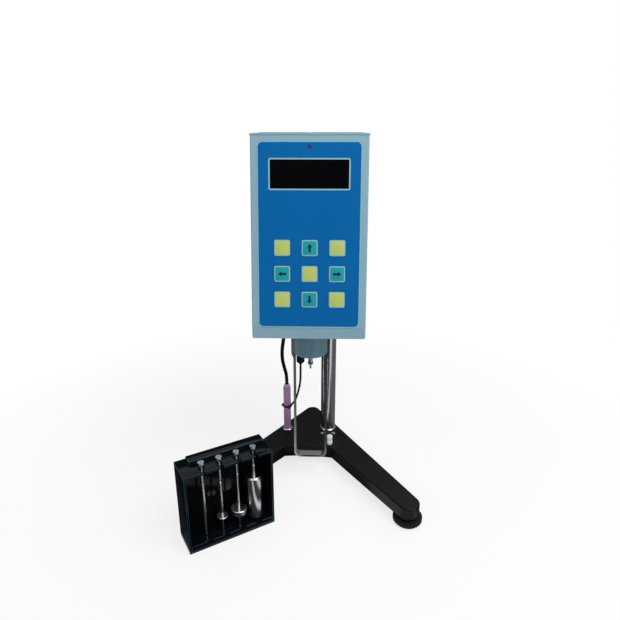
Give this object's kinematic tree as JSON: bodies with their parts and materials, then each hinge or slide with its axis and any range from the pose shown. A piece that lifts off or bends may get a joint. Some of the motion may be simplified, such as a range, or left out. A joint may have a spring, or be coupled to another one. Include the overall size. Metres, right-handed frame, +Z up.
{
  "type": "rotational viscometer",
  "caption": "Bench rotational viscometer: sloped keypad head on a rack and pinion column, three-footed base, spindle guard, temperature probe and a stand of spindles.",
  "frame": {"origin": "middle of the footprint of everything, on the bench under the foot pads", "axes": "+Z up, -Y towards the operator and the keypad, +X to the operator's right"},
  "size_m": [0.2898, 0.2828, 0.4445],
  "materials": {
    "head_paint": "blue grey fine texture paint",
    "black_cast": "black satin paint on casting",
    "steel": "ground stainless steel",
    "bright_steel": "polished stainless steel",
    "zinc_steel": "turned steel",
    "black_plastic": "black moulded plastic",
    "gloss_black": "black polished acrylic",
    "panel_film": "blue printed polyester film",
    "key_teal": "printed key dome, teal",
    "key_lime": "printed key dome, yellow green",
    "cup_paint": "blue grey paint",
    "brass": "machined brass",
    "ruby": "synthetic ruby",
    "board": "glass epoxy circuit board",
    "white_nylon": "natural nylon",
    "mauve": "mauve plastic sleeve",
    "pale_cap": "pale grey blue plastic",
    "purple_ring": "dark purple plastic",
    "rubber_black": "black flexible lead sheath",
    "pad_rubber": "moulded rubber pad",
    "led_red": "dark red lens",
    "aluminium": "turned aluminium",
    "vial": "level vial with tinted spirit",
    "spring_bronze": "rolled spring bronze",
    "motor_black": "motor stack and caps"
  },
  "bodies": {
    "stand": {"base_casting": "black_cast", "column": "bright_steel", "column_rack": "steel", "column_screws": "steel", "nylon_post": "white_nylon", "probe_socket": "zinc_steel", "probe_sleeve": "mauve", "probe_cap": "pale_cap", "probe_band": "purple_ring", "probe_lead": "rubber_black", "sensor_lead": "rubber_black", "spindle_case": "gloss_black", "case_shelf": "gloss_black"},
    "head": {"clamp_block": "head_paint", "mounting_rod": "bright_steel", "front_cover": "head_paint", "rear_cover": "head_paint", "bottom_plate": "aluminium", "panel_membrane": "panel_film", "display_window": "gloss_black", "status_led": "led_red", "front_board": "board", "pivot_cup": "cup_paint", "jewel_bearing": "ruby", "spindle_guard": "bright_steel", "head_screws": "steel", "chassis_frame": "aluminium", "stepper_motor": "motor_black", "opto_sensor": "black_plastic", "main_board": "board", "power_inlet": "black_plastic", "bubble_level": "vial", "lead_gland": "black_plastic", "sensor_plug": "black_plastic"},
    "lift_knob": {"lift_knob": "black_plastic"},
    "rod_knob": {"rod_knob": "black_plastic"},
    "drive": {"drive_gear": "brass", "hairspring": "spring_bronze"},
    "measuring": {"spindle_coupling": "steel"},
    "motor_rotor": {"motor_pinion": "steel"},
    "rocker": {"power_rocker": "black_plastic"},
    "key_top_left": {"key_top_left": "key_lime"},
    "key_top_centre": {"key_top_centre": "key_teal"},
    "key_top_right": {"key_top_right": "key_lime"},
    "key_middle_left": {"key_middle_left": "key_teal"},
    "key_middle_centre": {"key_middle_centre": "key_lime"},
    "key_middle_right": {"key_middle_right": "key_teal"},
    "key_bottom_left": {"key_bottom_left": "key_lime"},
    "key_bottom_centre": {"key_bottom_centre": "key_teal"},
    "key_bottom_right": {"key_bottom_right": "key_lime"},
    "pad_right": {"foot_pad_right": "pad_rubber"},
    "foot_right": {"levelling_foot_right": "black_plastic"},
    "pad_left": {"foot_pad_left": "pad_rubber"},
    "foot_left": {"levelling_foot_left": "black_plastic"},
    "pad_rear": {"foot_pad_rear": "pad_rubber"},
    "foot_rear": {"levelling_foot_rear": "black_plastic"},
    "spindle_1": {"spindle_1": "bright_steel"},
    "spindle_2": {"spindle_2": "bright_steel"},
    "spindle_3": {"spindle_3": "bright_steel"},
    "spindle_4": {"spindle_4": "bright_steel"}
  },
  "joints": [
    {"name": "head_lift", "type": "slide", "parent": "stand", "child": "head", "axis": [0, 0, 1], "range_m": [-0.028, 0.06], "deforming": ["probe_lead", "sensor_lead"]},
    {"name": "lift_turn", "type": "hinge", "parent": "head", "child": "lift_knob", "pos_m": [0.03173, 0.09327, 0.33], "axis": [1, 0, 0], "range_deg": [-235, 495]},
    {"name": "rod_knob_turn", "type": "hinge", "parent": "head", "child": "rod_knob", "pos_m": [-0.01197, 0.07192, 0.33], "axis": [-1, 0, 0], "range_deg": [0, 360]},
    {"name": "drive_spin", "type": "hinge", "parent": "head", "child": "drive", "pos_m": [0.00803, 0.00192, 0.297], "axis": [0, 0, 1], "continuous": true},
    {"name": "motor_spin", "type": "hinge", "parent": "head", "child": "motor_rotor", "pos_m": [0.03363, 0.00192, 0.297], "axis": [0, 0, 1], "continuous": true},
    {"name": "torque_twist", "type": "hinge", "parent": "drive", "child": "measuring", "pos_m": [0.00803, 0.00192, 0.2], "axis": [0, 0, -1], "range_deg": [0, 85], "stiffness_Nm_per_rad": 0.002},
    {"name": "press_key_top_left", "type": "slide", "parent": "head", "child": "key_top_left", "axis": [0, 0.983, -0.1833], "range_m": [0, 0.0004], "stiffness_N_per_m": 2000},
    {"name": "press_key_top_centre", "type": "slide", "parent": "head", "child": "key_top_centre", "axis": [0, 0.983, -0.1833], "range_m": [0, 0.0004], "stiffness_N_per_m": 2000},
    {"name": "press_key_top_right", "type": "slide", "parent": "head", "child": "key_top_right", "axis": [0, 0.983, -0.1833], "range_m": [0, 0.0004], "stiffness_N_per_m": 2000},
    {"name": "press_key_middle_left", "type": "slide", "parent": "head", "child": "key_middle_left", "axis": [0, 0.983, -0.1833], "range_m": [0, 0.0004], "stiffness_N_per_m": 2000},
    {"name": "press_key_middle_centre", "type": "slide", "parent": "head", "child": "key_middle_centre", "axis": [0, 0.983, -0.1833], "range_m": [0, 0.0004], "stiffness_N_per_m": 2000},
    {"name": "press_key_middle_right", "type": "slide", "parent": "head", "child": "key_middle_right", "axis": [0, 0.983, -0.1833], "range_m": [0, 0.0004], "stiffness_N_per_m": 2000},
    {"name": "press_key_bottom_left", "type": "slide", "parent": "head", "child": "key_bottom_left", "axis": [0, 0.983, -0.1833], "range_m": [0, 0.0004], "stiffness_N_per_m": 2000},
    {"name": "press_key_bottom_centre", "type": "slide", "parent": "head", "child": "key_bottom_centre", "axis": [0, 0.983, -0.1833], "range_m": [0, 0.0004], "stiffness_N_per_m": 2000},
    {"name": "press_key_bottom_right", "type": "slide", "parent": "head", "child": "key_bottom_right", "axis": [0, 0.983, -0.1833], "range_m": [0, 0.0004], "stiffness_N_per_m": 2000},
    {"name": "rocker_tilt", "type": "hinge", "parent": "head", "child": "rocker", "pos_m": [-0.01997, 0.04592, 0.29], "axis": [1, 0, 0], "range_deg": [0, 16]},
    {"name": "level_right_lift", "type": "slide", "parent": "stand", "child": "pad_right", "axis": [0, 0, -1], "range_m": [0, 0.005]},
    {"name": "level_right_turn", "type": "hinge", "parent": "pad_right", "child": "foot_right", "pos_m": [0.1273, -0.08027, 0.006], "axis": [0, 0, -1], "range_deg": [0, 1446]},
    {"name": "level_left_lift", "type": "slide", "parent": "stand", "child": "pad_left", "axis": [0, 0, -1], "range_m": [0, 0.005]},
    {"name": "level_left_turn", "type": "hinge", "parent": "pad_left", "child": "foot_left", "pos_m": [-0.1273, -0.07004, 0.006], "axis": [0, 0, -1], "range_deg": [0, 1446]},
    {"name": "level_rear_lift", "type": "slide", "parent": "stand", "child": "pad_rear", "axis": [0, 0, -1], "range_m": [0, 0.005]},
    {"name": "level_rear_turn", "type": "hinge", "parent": "pad_rear", "child": "foot_rear", "pos_m": [0.00791, 0.12189, 0.006], "axis": [0, 0, -1], "range_deg": [0, 1446]},
    {"name": "spindle_1_pull", "type": "slide", "parent": "stand", "child": "spindle_1", "axis": [0.5225, -0.8526, 0], "range_m": [0, 0.035]},
    {"name": "spindle_2_pull", "type": "slide", "parent": "stand", "child": "spindle_2", "axis": [0.5225, -0.8526, 0], "range_m": [0, 0.035]},
    {"name": "spindle_3_pull", "type": "slide", "parent": "stand", "child": "spindle_3", "axis": [0.5225, -0.8526, 0], "range_m": [0, 0.035]},
    {"name": "spindle_4_pull", "type": "slide", "parent": "stand", "child": "spindle_4", "axis": [0.5225, -0.8526, 0], "range_m": [0, 0.035]}
  ],
  "couplings": [
    {"joint": "lift_turn", "follows": "head_lift", "rad_per_m": 142.86},
    {"joint": "motor_spin", "follows": "drive_spin", "ratio": -3},
    {"joint": "level_right_turn", "follows": "level_right_lift", "rad_per_m": 5026.5},
    {"joint": "level_left_turn", "follows": "level_left_lift", "rad_per_m": 5026.5},
    {"joint": "level_rear_turn", "follows": "level_rear_lift", "rad_per_m": 5026.5}
  ]
}
